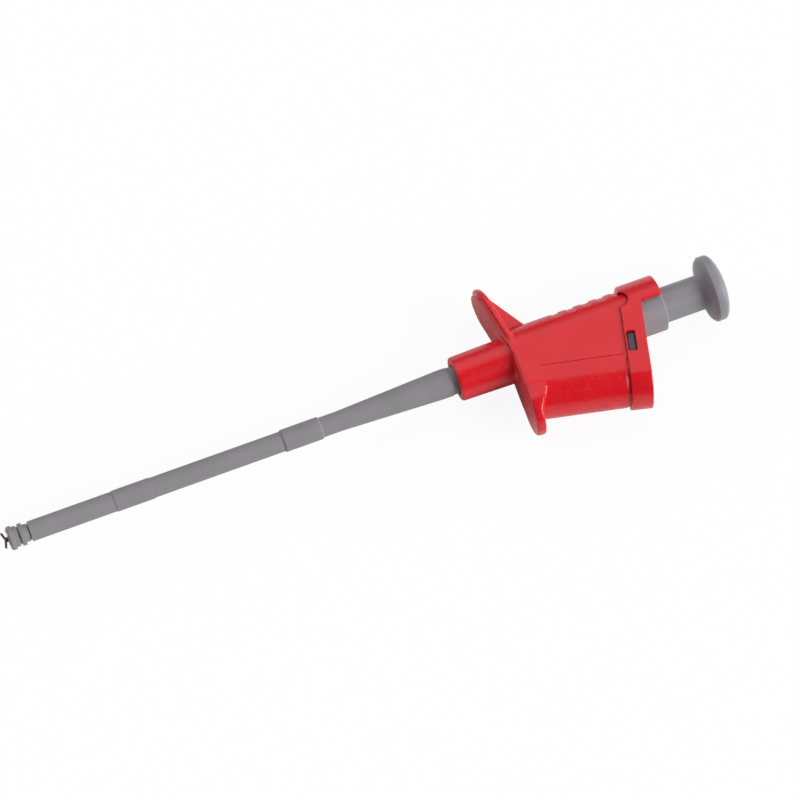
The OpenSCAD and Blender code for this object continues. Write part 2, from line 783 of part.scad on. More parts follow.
module socket_insulator() {
    bottom = contact_reach - socket_bore_len - 1;
    color([0.30, 0.30, 0.32]) socket_frame() difference() {
        union() {
            x_rod(base_x, insulator_reach, insulator_d / 2);
            x_rod(base_x, -shroud_depth, base_d / 2);
        }
        x_rod(bottom, insulator_reach + over, contact_d / 2 + seat_clear);
        x_rod(base_x - over, bottom + over, tail_d / 2 + seat_clear);
    }
}

module socket_nut() {
    color([0.72, 0.71, 0.68]) socket_frame() difference() {
        translate([plate_x - nut_t, 0, 0]) rotate([0, 90, 0])
            cylinder(h = nut_t, d = nut_af / cos(30), $fn = 6);
        x_rod(plate_x - nut_t - over, plate_x + over, tail_d / 2 + seat_clear / 2);
    }
}

module contact_strap() {
    color([0.78, 0.55, 0.32]) {
        difference() {
            socket_frame() union() {
                x_rod(plate_x, base_x, pocket_d / 2 - 2 * seat_clear);
                translate([plate_x, 0, -strap_w / 2]) cube([strap_t, strap_h(), strap_w]);
            }
            socket_frame() x_rod(plate_x - over, base_x + over, tail_d / 2 + seat_clear);
        }
        translate([root_x1 + seat_clear, -leaf_y, -strap_w / 2])
            cube([leaf_x1() - root_x1 - seat_clear, leaf_t, strap_w]);
    }
}

// Points on the spring's helix, and the closed tube that follows them.
function coil_point(i, n) =
    let (a = 360 * spring_turns * i / n,
         run = spring_x1 - spring_x0 - spring_wire_d,
         x = spring_x0 + spring_wire_d / 2 + run * i / n)
    [x, spring_mean_d / 2 * cos(a), spring_mean_d / 2 * sin(a)];

module return_spring() {
    per_turn = 14;
    sides = 6;
    n = spring_turns * per_turn;
    points = [for (i = [0:n]) let (c = coil_point(i, n), a = 360 * spring_turns * i / n)
        for (k = [0:sides - 1]) let (b = 360 * k / sides, w = spring_wire_d / 2)
            c + w * [cos(b), sin(b) * cos(a), sin(b) * sin(a)]];
    walls = [for (i = [0:n - 1]) for (k = [0:sides - 1])
        let (k2 = (k + 1) % sides, p = i * sides, q = p + sides)
            each [[p + k, q + k, q + k2], [p + k, q + k2, p + k2]]];
    lids = [[for (k = [0:sides - 1]) k], [for (k = [sides - 1:-1:0]) n * sides + k]];
    color([0.74, 0.75, 0.77]) polyhedron(points, concat(walls, lids), convexity = 10);
}

module plunger() {
    r_g = guide_d / 2;
    r_s = shaft_d / 2;
    r_b = button_d / 2;
    r_f = r_b - rim_round;
    button_x = shaft_x1 + flare_len;
    dome_x = button_x + rim_t;
    flare = [for (i = [0:8]) let (t = i / 8)
        [r_s + (r_f - r_s) * pow(t, flare_curve), shaft_x1 + flare_len * t]];
    dome = [for (i = [0:9]) let (a = 90 * i / 10) [r_b * cos(a), dome_x + dome_h * sin(a)]];
    color([0.56, 0.55, 0.58]) difference() {
        union() {
            turned(concat(
                [[0, nose_tip_x], [plunger_nose_d / 2, nose_tip_x],
                 [plunger_nose_d / 2, guide_x0], [r_g, guide_x0], [r_g, guide_x1 - guide_slope],
                 [r_s, guide_x1]],
                flare, [[r_b, button_x + rim_round]], dome, [[0, dome_x + dome_h]]
            ));
            translate([guide_x0, 0, -key_w / 2])
                cube([guide_x1 - guide_slope - over - guide_x0, key_top, key_w]);
        }
        x_rod(nose_tip_x - over, nose_tip_x + rod_depth, rod_d / 2);
    }
}

module pull_rod() {
    color([0.80, 0.80, 0.78]) x_rod(wire_x1, nose_tip_x + rod_depth, rod_d / 2);
}

module spring_washer() {
    color([0.70, 0.70, 0.72])
        x_sleeve(spring_x1, nose_tip_x, plunger_nose_d / 2, rod_d / 2 + seat_clear);
}

module wire_crimp() {
    color([0.80, 0.66, 0.34]) difference() {
        x_rod(crimp_x0, crimp_x1, crimp_d / 2);
        x_rod(wire_x1, crimp_x1 + over, rod_d / 2);
        x_rod(crimp_x0 - over, crimp_x1, wire_d / 2);
    }
}

module drive_wire() {
    color([0.55, 0.55, 0.57]) x_rod(wire_x0, wire_x1, wire_d / 2);
}

module claw_ferrule() {
    color([0.72, 0.71, 0.70]) difference() {
        x_rod(pivot_x - fork_len, ferrule_x1, ferrule_d / 2);
        translate([pivot_x - fork_len - over, -ferrule_d, -fork_gap])
            cube([slot_back - pivot_x + fork_len + over, 2 * ferrule_d, 2 * fork_gap]);
        translate([pivot_x, 0, -ferrule_d]) cylinder(h = 2 * ferrule_d, d = pin_d);
        x_rod(wire_x0, ferrule_x1 + over, wire_d / 2);
    }
}

module claw_pin() {
    color([0.66, 0.66, 0.68]) translate([pivot_x, 0, -ferrule_d / 2 + 0.12])
        cylinder(h = ferrule_d - 0.24, d = pin_d);
}

// Directions and corner points of a strip of width w that follows a path.
function unit(v) = v / norm(v);
function left_of(v) = [-v[1], v[0]];
function corner(path, i, w) =
    let (a = unit(path[min(i + 1, len(path) - 1)] - path[min(i, len(path) - 2)]),
         b = unit(path[max(i, 1)] - path[max(i - 1, 0)]),
         n = unit(left_of(a) + left_of(b)))
    n * w / 2 / (n * left_of(a));

// One claw: its arm leaves the eye on the +Y side and its point crosses to the -Y side.
module claw() {
    root = (pin_d / 2 + pin_clear + eye_d / 2) / 2;
    path = [
        [-root, 0], [-2.5 * root, claw_offset - 0.15], [bend_in - pivot_x, claw_offset],
        [-pivot_x - cross_out, 0], [-pivot_x - point_out, -point_cross]
    ];
    last = len(path) - 1;
    tip = path[last] + unit(path[last] - path[last - 1]) * claw_w / 2;
    left = [for (i = [0:last]) path[i] + corner(path, i, claw_w)];
    right = [for (i = [last:-1:0]) path[i] - corner(path, i, claw_w)];
    translate([pivot_x, 0, claw_gap / 2]) difference() {
        union() {
            cylinder(h = claw_t, d = eye_d);
            linear_extrude(claw_t) polygon(concat(left, [tip], right));
        }
        translate([0, 0, -over]) cylinder(h = claw_t + 2 * over, d = pin_d + 2 * pin_clear);
    }
}

module claw_upper() {
    color([0.42, 0.40, 0.40]) claw();
}

module claw_lower() {
    color([0.42, 0.40, 0.40]) rotate([180, 0, 0]) claw();
}

housing();
end_cap();
guide_insert();
stem_taper();
stem_tube();
wire_liner();
tip_nozzle();
mouth_bush();
rod_bush();
socket_contact();
socket_insulator();
socket_nut();
contact_strap();
return_spring();
plunger();
pull_rod();
spring_washer();
wire_crimp();
drive_wire();
claw_ferrule();
claw_pin();
claw_upper();
claw_lower();
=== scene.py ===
"""Looks of the clamp-type test probe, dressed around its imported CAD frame."""

import json
import math

import bmesh
import bpy
import numpy as np
from mathutils import Matrix, Vector


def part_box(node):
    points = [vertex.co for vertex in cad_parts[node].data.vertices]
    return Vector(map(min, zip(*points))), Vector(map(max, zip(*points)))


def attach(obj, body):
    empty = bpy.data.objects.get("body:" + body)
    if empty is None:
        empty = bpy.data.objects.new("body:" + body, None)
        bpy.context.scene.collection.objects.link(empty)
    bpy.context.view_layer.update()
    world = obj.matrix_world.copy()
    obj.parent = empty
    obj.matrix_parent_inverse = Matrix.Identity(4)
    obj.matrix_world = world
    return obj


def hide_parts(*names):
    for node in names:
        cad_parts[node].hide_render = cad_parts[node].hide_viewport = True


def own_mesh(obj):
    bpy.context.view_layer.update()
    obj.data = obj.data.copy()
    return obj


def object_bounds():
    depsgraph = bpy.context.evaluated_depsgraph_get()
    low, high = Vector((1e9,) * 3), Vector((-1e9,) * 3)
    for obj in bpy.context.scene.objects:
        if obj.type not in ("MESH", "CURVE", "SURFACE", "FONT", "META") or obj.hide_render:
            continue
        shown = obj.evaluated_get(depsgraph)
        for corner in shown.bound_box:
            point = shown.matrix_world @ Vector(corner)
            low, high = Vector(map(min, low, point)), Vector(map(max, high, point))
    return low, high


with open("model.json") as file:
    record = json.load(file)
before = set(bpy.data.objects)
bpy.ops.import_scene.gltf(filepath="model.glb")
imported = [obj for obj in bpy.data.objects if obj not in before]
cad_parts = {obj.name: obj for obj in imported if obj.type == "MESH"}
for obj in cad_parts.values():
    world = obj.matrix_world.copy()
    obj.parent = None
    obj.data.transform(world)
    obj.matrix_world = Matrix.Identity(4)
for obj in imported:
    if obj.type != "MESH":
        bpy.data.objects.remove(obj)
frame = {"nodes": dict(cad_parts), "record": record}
NODES = frame["nodes"]
cad_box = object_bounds()

MM = 0.001
IDENTITY = Matrix.Identity(4)

# ---------------------------------------------------------------- places on the probe, in mm
# The cap's front face crosses the plunger axis here and leans by this angle.
CAP_X = 135.7
CAP_TILT = math.radians(14.2)
CAP_FRAME = Matrix.Translation((CAP_X, 0, 0)) @ Matrix.Rotation(-CAP_TILT, 4, "Z")
# The socket's axis, from the place that its mount gives.
SOCKET = next(m for m in frame["record"]["mounts"] if m["name"] == "plug_socket")
SOCKET_TURN = math.atan2(SOCKET["axis"][1], SOCKET["axis"][0])
SOCKET_FRAME = (Matrix.Translation(Vector(SOCKET["pos_m"]) / MM)
                @ Matrix.Rotation(SOCKET_TURN, 4, "Z"))
# The same axis, from the cap's front, where it lies this far from the plunger axis.
SOCKET_DROP = 13.0
BARREL_FRAME = (Matrix.Translation((CAP_X, 0, 0)) @ Matrix.Rotation(SOCKET_TURN, 4, "Z")
                @ Matrix.Translation((0, -SOCKET_DROP, 0)))
# The flange's front face on the plunger axis, and how far the lower wing comes forward
# for each mm along it.
FLANGE_X = 111.0
LOWER_LEAN = math.tan(math.radians(2.6))
# Half the width across the handle's flat sides, and the height of a flat's foot above
# the socket's axis.
FLAT_Z = 6.2
SHOULDER_H = 3.0
# The plunger's travel, and where the front of its guide stands at rest.
SLIDE = next(j for j in frame["record"]["behaviour"]["joints"] if j["name"] == "plunger_slide")
STROKE = SLIDE["range_m"][1] / MM
GUIDE_X = CAP_X - 0.5
# The length of the plunger's nose in front of that guide.
NOSE_LEN = 4.0
# The key on top of the guide: its length, its foot and top above the axis, and half its width.
KEY_LEN = 8.7
KEY_FOOT = 3.0
KEY_TOP = 5.45
KEY_HALF = 0.8

# ---------------------------------------------------------------- camera, in metres
IMAGE_PX = 800
FOCAL_PX = 3510.0
SENSOR_MM = 36.0
CLIP = (0.01, 20.0)
CAM_TURN = math.radians(21.064)
CAM_ELEVATION = math.radians(68.0)
CAM_DISTANCE = 0.734
CAM_TARGET = Vector((0.08619, -0.000135, 0.0))


def make_camera():
    """Looks down on the probe as it lies on its flat side."""
    data = bpy.data.cameras.new("camera")
    data.sensor_width = SENSOR_MM
    data.lens = data.sensor_width * FOCAL_PX / IMAGE_PX
    data.clip_start, data.clip_end = CLIP
    cam = bpy.data.objects.new("camera", data)
    bpy.context.scene.collection.objects.link(cam)
    st, ct = math.sin(CAM_TURN), math.cos(CAM_TURN)
    se, ce = math.sin(CAM_ELEVATION), math.cos(CAM_ELEVATION)
    right = Vector((ct, -st, 0))
    back = Vector((-st * ce, -ct * ce, se))
    up = back.cross(right)
    turn = Matrix((right, up, back)).transposed()
    cam.matrix_world = Matrix.Translation(CAM_TARGET + back * CAM_DISTANCE) @ turn.to_4x4()
    bpy.context.scene.camera = cam


# ---------------------------------------------------------------- node helpers
WHITE = (1, 1, 1, 1)
# The places of the colours among a Mix node's sockets.
MIX_A, MIX_B, MIX_RESULT = 6, 7, 2


class Nodes:
    """A short way to build a node tree."""

    def __init__(self, tree):
        self.tree = tree

    def node(self, kind, **inputs):
        """A new node. The name of an input has _ for a space."""
        made = self.tree.nodes.new("ShaderNode" + kind)
        for key, value in inputs.items():
            self.set(made.inputs[key.replace("_", " ")], value)
        return made

    def set(self, socket, value):
        """Links the value to the socket if it comes from a node, or else writes it there."""
        if isinstance(value, bpy.types.NodeSocket):
            self.tree.links.new(value, socket)
        else:
            socket.default_value = value

    def math(self, how, *values):
        made = self.node("Math")
        made.operation = how
        for socket, value in zip(made.inputs, values):
            self.set(socket, value)
        return made.outputs["Value"]

    def ramp(self, value, low, high, to_low=0.0, to_high=1.0, how="LINEAR"):
        """From to_low where value is low, to to_high where it is high."""
        made = self.node("MapRange", Value=value, From_Min=low, From_Max=high,
                         To_Min=to_low, To_Max=to_high)
        made.interpolation_type = how
        return made.outputs["Result"]

    def mixed(self, factor, at_0, at_1):
        """A mix of two shaders."""
        mix = self.node("MixShader")
        for socket, value in zip(mix.inputs, (factor, at_0, at_1)):
            self.set(socket, value)
        return mix.outputs["Shader"]


class Finish(Nodes):
    """A short way to build one material."""

    def __init__(self, name):
        self.mat = bpy.data.materials.new(name)
        self.mat.use_nodes = True
        super().__init__(self.mat.node_tree)
        self.bsdf = self.tree.nodes["Principled BSDF"]
        self.out = self.tree.nodes["Material Output"]
        self.where = self.node("TexCoord").outputs["Object"]

    def noise(self, size, detail):
        """Noise whose features are about size metres across, from 0 to 1."""
        tex = self.node("TexNoise", Vector=self.where, Scale=1.0 / size, Detail=detail)
        return tex.outputs["Fac"]

    def blend(self, factor, a, b):
        """Colour a where factor is 0, and b where it is 1."""
        mix = self.node("Mix")
        mix.data_type = "RGBA"
        self.set(mix.inputs["Factor"], factor)
        self.set(mix.inputs[MIX_A], a)
        self.set(mix.inputs[MIX_B], b)
        return mix.outputs[MIX_RESULT]

    def bump(self, height, distance, strength):
        made = self.node("Bump", Height=height, Distance=distance, Strength=strength)
        return made.outputs["Normal"]

    def surface(self, colour, roughness, normal=None, **plain):
        self.set(self.bsdf.inputs["Base Color"], colour)
        self.set(self.bsdf.inputs["Roughness"], roughness)
        if normal is not None:
            self.set(self.bsdf.inputs["Normal"], normal)
        for key, value in plain.items():
            self.set(self.bsdf.inputs[key.replace("_", " ")], value)
        return self.mat


def linear(level):
    """An sRGB level, from 0 to 255, as a linear value."""
    return level / 255 / 12.92 if level <= 10 else ((level / 255 + 0.055) / 1.055) ** 2.4


def rgb(levels):
    """A colour of three sRGB levels as linear RGBA."""
    return (*(linear(c) for c in levels), 1.0)


# ---------------------------------------------------------------- materials
# The size of the clouds, the rubbed patches (worn and with a painted highlight), the grain and
# the changes of sheen on plastic, in metres.
CLOUD, RUB_AND_HIGHLIGHT, GRAIN, SHEEN = 6 * MM, 1.2 * MM, 0.16 * MM, 2.2 * MM
# How far a rubbed edge goes towards its lighter colour, which is partly wear and partly a
# painted highlight, and the pointiness at which an edge begins to take this wear and painted
# highlight and at which it has it wholly.
RUB_AND_HIGHLIGHT_SHARE = 0.35
RUB_AND_HIGHLIGHT_POINTINESS = (0.51, 0.58)
# The size of the tooth and the tarnish on metal, and the depth of the tooth, in metres.
TOOTH, TARNISH, TOOTH_DEPTH = 0.12 * MM, 0.9 * MM, 0.004 * MM

# Each slot's colour, its darker clouds and its rubbed edges with their painted highlight, as
# sRGB levels, then its roughness, the depth of its grain in mm and its gloss.
PLASTICS = {
    "red_plastic": ((210, 14, 30), (204, 12, 27), (232, 70, 78), 0.28, 0.006, 0.5),
    "grey_plastic": ((133, 131, 134), (129, 127, 130), (160, 158, 160), 0.58, 0.01, 0.3),
    "plunger_plastic": ((136, 134, 140), (131, 129, 135), (176, 174, 178), 0.42, 0.006, 0.4),
    "dark_plastic": ((74, 70, 82), (64, 60, 70), (120, 114, 124), 0.3, 0.004, 0.5),
    "liner": ((232, 232, 226), (224, 224, 218), (240, 240, 236), 0.4, 0.004, 0.5),
}
# Each slot's colour and its tarnish, both linear, and its roughness.
METALS = {
    "nickel": ((0.78, 0.7, 0.68), (0.66, 0.58, 0.55), 0.24),
    "brass": ((0.78, 0.6, 0.3), (0.6, 0.42, 0.18), 0.25),
    "bronze": ((0.72, 0.45, 0.22), (0.5, 0.3, 0.15), 0.3),
    "steel": ((0.55, 0.55, 0.56), (0.42, 0.42, 0.44), 0.28),
    "claw_steel": ((0.13, 0.09, 0.08), (0.07, 0.045, 0.04), 0.35),
}


def moulded(name, colour, dark, light, rough, grain, gloss):
    """Moulded plastic: faintly cloudy colour, fine spark-eroded grain, and edges lighter in
    patches, partly rubbed wear and partly a painted highlight.
    """
    f = Finish(name)
    cloudy = f.ramp(f.noise(CLOUD, detail=3.0), 0.35, 0.65)
    base = f.blend(cloudy, rgb(dark), rgb(colour))
    # Pointy edges go lighter in patches: rubbed wear together with a painted highlight on the
    # edges.
    edges = f.ramp(f.node("NewGeometry").outputs["Pointiness"], *RUB_AND_HIGHLIGHT_POINTINESS)
    patches = f.ramp(f.noise(RUB_AND_HIGHLIGHT, detail=4.0), 0.4, 0.7)
    rubbed_and_highlit = f.math("MULTIPLY", f.math("MULTIPLY", edges, patches), RUB_AND_HIGHLIGHT_SHARE)
    base = f.blend(rubbed_and_highlit, base, rgb(light))
    sheen = f.ramp(f.noise(SHEEN, detail=3.0), 0.3, 0.7, rough - 0.05, rough + 0.05)
    normal = f.bump(f.noise(GRAIN, detail=2.0), grain * MM, strength=0.35)
    return f.surface(base, sheen, normal, Specular_IOR_Level=gloss)


def metal(name, colour, tarnish, rough):
    """Metal with a fine tooth and a little tarnish."""
    f = Finish(name)
    clean = f.ramp(f.noise(TARNISH, detail=4.0), 0.35, 0.7)
    base = f.blend(clean, (*tarnish, 1), (*colour, 1))
    tooth = f.noise(TOOTH, detail=2.0)
    sheen = f.ramp(tooth, 0.3, 0.7, rough - 0.08, rough + 0.1)
    return f.surface(base, sheen, f.bump(tooth, TOOTH_DEPTH, strength=0.6), Metallic=1.0)


def make_materials():
    mats = {slot: moulded(slot, *look) for slot, look in PLASTICS.items()}
    mats.update({slot: metal(slot, *look) for slot, look in METALS.items()})
    return mats


# ---------------------------------------------------------------- mesh helpers, all in mm
# Points closer than this are one point, in a solid and in a section through it.
WELD = 1e-4
SECTION_WELD = 1e-3
# The same for a finished shell with cuts.
CUT_WELD = 5e-4
# A vertex group takes its weights in this many steps.
WEIGHT_STEPS = 10
# A section's corner that turns by more than this is rounded, by at most this share of its
# shorter side and in this many steps.
CORNER_TURN = math.radians(25)
CORNER_SHARE = 0.4
CORNER_STEPS = 4
# A turned body has this many sides, and a point where its radius is less than this.
LATHE_SIDES = 96
ON_AXIS = 1e-3
# Edges that turn by more than this stay sharp in the shading.
SHARP = math.radians(50)
# A distance that is divided by is at least this.
TINY = 1e-6


def link(name, mesh):
    made = bpy.data.objects.new(name, mesh)
    bpy.context.scene.collection.objects.link(made)
    return made


def baked(obj):
    """Applies obj's modifiers by taking its evaluated mesh."""
    bpy.context.view_layer.update()
    shown = obj.evaluated_get(bpy.context.evaluated_depsgraph_get())
    mesh = bpy.data.meshes.new_from_object(shown)
    obj.modifiers.clear()
    obj.data = mesh
    return obj


def modified(obj, kind, **settings):
    """Adds one modifier to obj and applies it."""
    made = obj.modifiers.new(kind.lower(), kind)
    for key, value in settings.items():
        setattr(made, key, value)
    return baked(obj)


def combine(obj, how, other):
    """Adds other to obj (UNION) or takes it out of obj (DIFFERENCE), and removes other."""
    modified(obj, "BOOLEAN", operation=how, solver="MANIFOLD", object=other)
    bpy.data.objects.remove(other)


def welded_copy(node):
    """A copy of a CAD node's mesh, welded and in millimetres."""
    mesh = bpy.data.meshes.new(node + "_copy")
    work = bmesh.new()
    work.from_mesh(NODES[node].data)
    bmesh.ops.scale(work, vec=(1 / MM,) * 3, verts=work.verts)
    bmesh.ops.remove_doubles(work, verts=work.verts, dist=WELD)
    work.to_mesh(mesh)
    work.free()
    return mesh


def soft_shell(node, name, voxel, rounds):
    """The CAD node as one soft-edged moulding."""
    obj = link(name, welded_copy(node))
    modified(obj, "REMESH", mode="VOXEL", voxel_size=voxel)
    return modified(obj, "SMOOTH", factor=0.5, iterations=rounds)


def points_of(obj):
    flat = np.empty(len(obj.data.vertices) * 3)
    obj.data.vertices.foreach_get("co", flat)
    return flat.reshape(-1, 3)


def set_points(obj, points):
    obj.data.vertices.foreach_set("co", np.ascontiguousarray(points, float).ravel())
    obj.data.update()


def in_frame(points, local):
    """The points in the coordinates of a frame."""
    turned = np.array(local.inverted())
    return points @ turned[:3, :3].T + turned[:3, 3]


def soften(obj, weights, rounds):
    """Smooths obj where the weights, one for each vertex, are above zero."""
    group = obj.vertex_groups.new(name="soft")
    for step in range(1, WEIGHT_STEPS + 1):
        chosen = np.nonzero(np.ceil(weights * WEIGHT_STEPS) == step)[0]
        group.add(chosen.tolist(), step / WEIGHT_STEPS, "REPLACE")
    modified(obj, "SMOOTH", factor=0.5, iterations=rounds, vertex_group="soft")
    obj.vertex_groups.clear()


def without_folds(obj):
    """Deletes the pairs of faces that lie back to back on the same three points."""
    work = bmesh.new()
    work.from_mesh(obj.data)
    bmesh.ops.remove_doubles(work, verts=work.verts, dist=CUT_WELD)
    bmesh.ops.triangulate(work, faces=work.faces)
    work.verts.index_update()
    seen = {}
    for face in work.faces:
        seen.setdefault(frozenset(v.index for v in face.verts), []).append(face)
    folded = [f for faces in seen.values() if len(faces) == 2 for f in faces]
    bmesh.ops.delete(work, geom=folded, context="FACES")
    work.to_mesh(obj.data)
    work.free()


def half_section(node, local):
    """Half of a turned node's section through its axis: a chain of (x, r) points, and
    whether it closes on itself."""
    work = bmesh.new()
    work.from_mesh(welded_copy(node))
    work.transform(local.inverted())
    for normal, both in (((0, 1, 0), False), ((0, 0, 1), True)):
        geometry = work.verts[:] + work.edges[:] + work.faces[:]
        bmesh.ops.bisect_plane(work, geom=geometry, dist=WELD, plane_co=(0, 0, 0),
                               plane_no=normal, clear_outer=True, clear_inner=both)
    bmesh.ops.remove_doubles(work, verts=work.verts, dist=SECTION_WELD)
    ends = [v for v in work.verts if len(v.link_edges) == 1]
    at = ends[0] if ends else work.verts[:][0]
    chain, last = [at], None
    while True:
        ahead = [e for e in at.link_edges if e is not last]
        if not ahead:
            break
        last = ahead[0]
        at = last.other_vert(at)
        if at is chain[0]:
            break
        chain.append(at)
    found = [(v.co.x, -v.co.y) for v in chain]
    work.free()
    return found, not ends


def rounded(points, closed, radius):
    """The chain with its sharp corners rounded."""
    out = []
    count = len(points)
    for i, here in enumerate(points):
        inside = closed or 0 < i < count - 1
        p = Vector(here)
        if inside:
            before = Vector(points[i - 1]) - p
            after = Vector(points[(i + 1) % count]) - p
            turn = math.pi - before.angle(after)
        if not inside or turn < CORNER_TURN:
            out.append(tuple(p))
            continue
        reach = min(radius * math.tan(turn / 2),
                    CORNER_SHARE * before.length, CORNER_SHARE * after.length)
        a, b = p + before.normalized() * reach, p + after.normalized() * reach
        for k in range(CORNER_STEPS + 1):
            t = k / CORNER_STEPS
            out.append(tuple(a * (1 - t) ** 2 + p * 2 * t * (1 - t) + b * t ** 2))
    return out


def lathe(name, points, closed=False, local=IDENTITY):
    """A body turned from a chain of (x, r) points about the X axis of a frame."""
    verts, rows, faces = [], [], []
    for x, r in points:
        ring = 1 if r < ON_AXIS else LATHE_SIDES
        first = len(verts)
        for k in range(ring):
            a = 2 * math.pi * k / LATHE_SIDES
            verts.append((x, r * math.cos(a), r * math.sin(a)) if ring > 1 else (x, 0, 0))
        rows.append([first + k % ring for k in range(LATHE_SIDES)])
    for a, b in zip(rows, rows[1:] + (rows[:1] if closed else [])):
        for k in range(LATHE_SIDES):
            j = (k + 1) % LATHE_SIDES
            face = list(dict.fromkeys((a[k], a[j], b[j], b[k])))
            if len(face) > 2:
                faces.append(face)
    mesh = bpy.data.meshes.new(name)
    mesh.from_pydata(verts, [], faces)
    mesh.transform(local)
    work = bmesh.new()
    work.from_mesh(mesh)
    bmesh.ops.recalc_face_normals(work, faces=work.faces)
    work.to_mesh(mesh)
    work.free()
    return link(name, mesh)


def turned(node, name, radius, local=IDENTITY):
    """A turned CAD node made again, finely divided and with its corners rounded."""
    chain, closed = half_section(node, local)
    return lathe(name, rounded(chain, closed, radius), closed, local)


def box(name, low, high, bevel=0, local=IDENTITY):
    """A block between two corners of a frame, with bevelled edges if bevel isn't 0."""
    mesh = bpy.data.meshes.new(name)
    work = bmesh.new()
    bmesh.ops.create_cube(work, size=1.0)
    low, high = Vector(low), Vector(high)
    bmesh.ops.scale(work, vec=high - low, verts=work.verts)
    bmesh.ops.translate(work, vec=(low + high) / 2, verts=work.verts)
    if bevel:
        bmesh.ops.bevel(work, geom=work.edges, offset=bevel, segments=3, profile=0.5,
                        affect="EDGES")
    work.transform(local)
    work.to_mesh(mesh)
    work.free()
    return link(name, mesh)


def place(obj, body, node, slot, mats):
    """Turns a finished millimetre mesh into metres and hangs it on its body."""
    obj.data.transform(Matrix.Scale(MM, 4))
    obj.data.materials.clear()
    obj.data.materials.append(mats[slot])
    obj.data.shade_smooth()
    obj.data.set_sharp_from_angle(angle=SHARP)
    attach(obj, body)
    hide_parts(node)


def even_normals(obj):
    """Lets the large faces decide the shading at rounded corners."""
    modified(obj, "WEIGHTED_NORMAL", weight=100, keep_sharp=True)


def smooth_step(t):
    t = np.clip(t, 0, 1)
    return t * t * (3 - 2 * t)


def rise(values, start, run):
    """Smoothly from 0 at start to 1 at start + run."""
    return smooth_step((values - start) / run)


def fall(values, start, run):
    """Smoothly from 1 at start to 0 at start + run."""
    return smooth_step(1 - (values - start) / run)


# ---------------------------------------------------------------- the red mouldings
# The seam in front of the cap: its width and depth, and what both gain around the socket's
# barrel, from this far below the plunger axis and over a short run.
SEAM_WIDTH, SEAM_WIDTH_GAIN = 0.4, 0.5
SEAM_DEPTH, SEAM_DEPTH_GAIN = 0.04, 0.1
SEAM_BARREL, SEAM_BARREL_RUN = 10.5, 2.0
# What lies further behind the cap's front face than this stays.
SEAM_END = 0.1
# Only the handle's skin moves, from this radius out, and not the lugs in the cap's notches.
SKIN_R, SKIN_RUN = 5.62, 0.4
LUG_Y, LUG_R, LUG_RUN = 2.4, 1.85, 0.25
# The skin's rear edge moves back this far, into the cap, so that no gap opens.
EDGE_BACK = 0.25
EDGE_START, EDGE_RUN = -0.45, 0.3
# The crease at the foot of a flat: half its width, its depth, and its ends along the barrel.
CREASE_HALF = 0.11
CREASE_DEPTH = 0.16
CREASE_ENDS = (-18.6, -1.1)
# A cutter stands this far out of the face that it cuts.
CUTTER_OVER = 0.3
# The room for the plunger: the radius for its guide, the clearance around its key, the gap
# in front of it at the end of its travel, and how far the cutter reaches behind the cap's front.
WAY_R = 5.2
WAY_KEY_CLEAR = 0.07
WAY_FRONT_GAP = 0.06
WAY_BACK = 2
# The lower wing is softened this far to each side of its middle, which lies so far behind
# the flange's front face, and from this far below the plunger axis.
WING_MIDDLE = 0.5
WING_SIDE, WING_SIDE_RUN = 3.5, 1.5
WING_TOP, WING_TOP_RUN = 5.0, 1.5
# Its front edge is softened more, to this far behind the front face, from further down.
FRONT_SKIN, FRONT_SKIN_RUN = 1.7, 0.8
FRONT_TOP, FRONT_TOP_RUN = 8.5, 1.5
# The hood's front edge is softened near the cap's front face, above this height.
HOOD_SIDE, HOOD_SIDE_RUN = 0.48, 1.2
HOOD_FOOT, HOOD_FOOT_RUN = 3.8, 1.0


def neck_in(shell):
    """Draws the handle's rear edge in, so that it meets the cap in a soft seam."""
    p = in_frame(points_of(shell), CAP_FRAME)
    x, y, z = p.T
    # From the handle's core, which runs from the plunger axis down to the socket's.
    out = np.stack([y - np.clip(y, -SOCKET_DROP, 0), z], 1)
    radius = np.maximum(np.hypot(*out.T), TINY)
    barrel = rise(-y, SEAM_BARREL, SEAM_BARREL_RUN)
    width = SEAM_WIDTH + SEAM_WIDTH_GAIN * barrel
    depth = SEAM_DEPTH + SEAM_DEPTH_GAIN * barrel
    rear = rise(x, -width, 0.5 * width) * (x < SEAM_END)
    skin = rise(radius, SKIN_R, SKIN_RUN)
    beside_lug = rise(np.hypot(x, y - LUG_Y), LUG_R, LUG_RUN)
    inward = (depth * rear * skin * beside_lug / radius)[:, None] * out
    back = EDGE_BACK * rise(x, EDGE_START, EDGE_RUN) * (x < SEAM_END) * skin * beside_lug
    p[:, 1:] -= inward
    p[:, 0] += back
    set_points(shell, in_frame(p, CAP_FRAME.inverted()))


def crease(side):
    """The fine line along the foot of a flat, where the barrel's shoulder starts."""
    low, high = sorted((side * (FLAT_Z - CREASE_DEPTH), side * (FLAT_Z + CUTTER_OVER)))
    front, back = CREASE_ENDS
    return box("crease", (front, SHOULDER_H - CREASE_HALF, low),
               (back, SHOULDER_H + CREASE_HALF, high), local=BARREL_FRAME)


def guide_way():
    """The room that the plunger's guide and its key need, from the front stop to the cap."""
    front, back = GUIDE_X - STROKE - WAY_FRONT_GAP, CAP_X + WAY_BACK
    way = lathe("guide_way", [(front, 0), (front, WAY_R), (back, WAY_R), (back, 0)])
    half = KEY_HALF + WAY_KEY_CLEAR
    key = box("key_way", (front, KEY_FOOT, -half), (back, KEY_TOP + WAY_KEY_CLEAR, half))
    combine(way, "UNION", key)
    return way


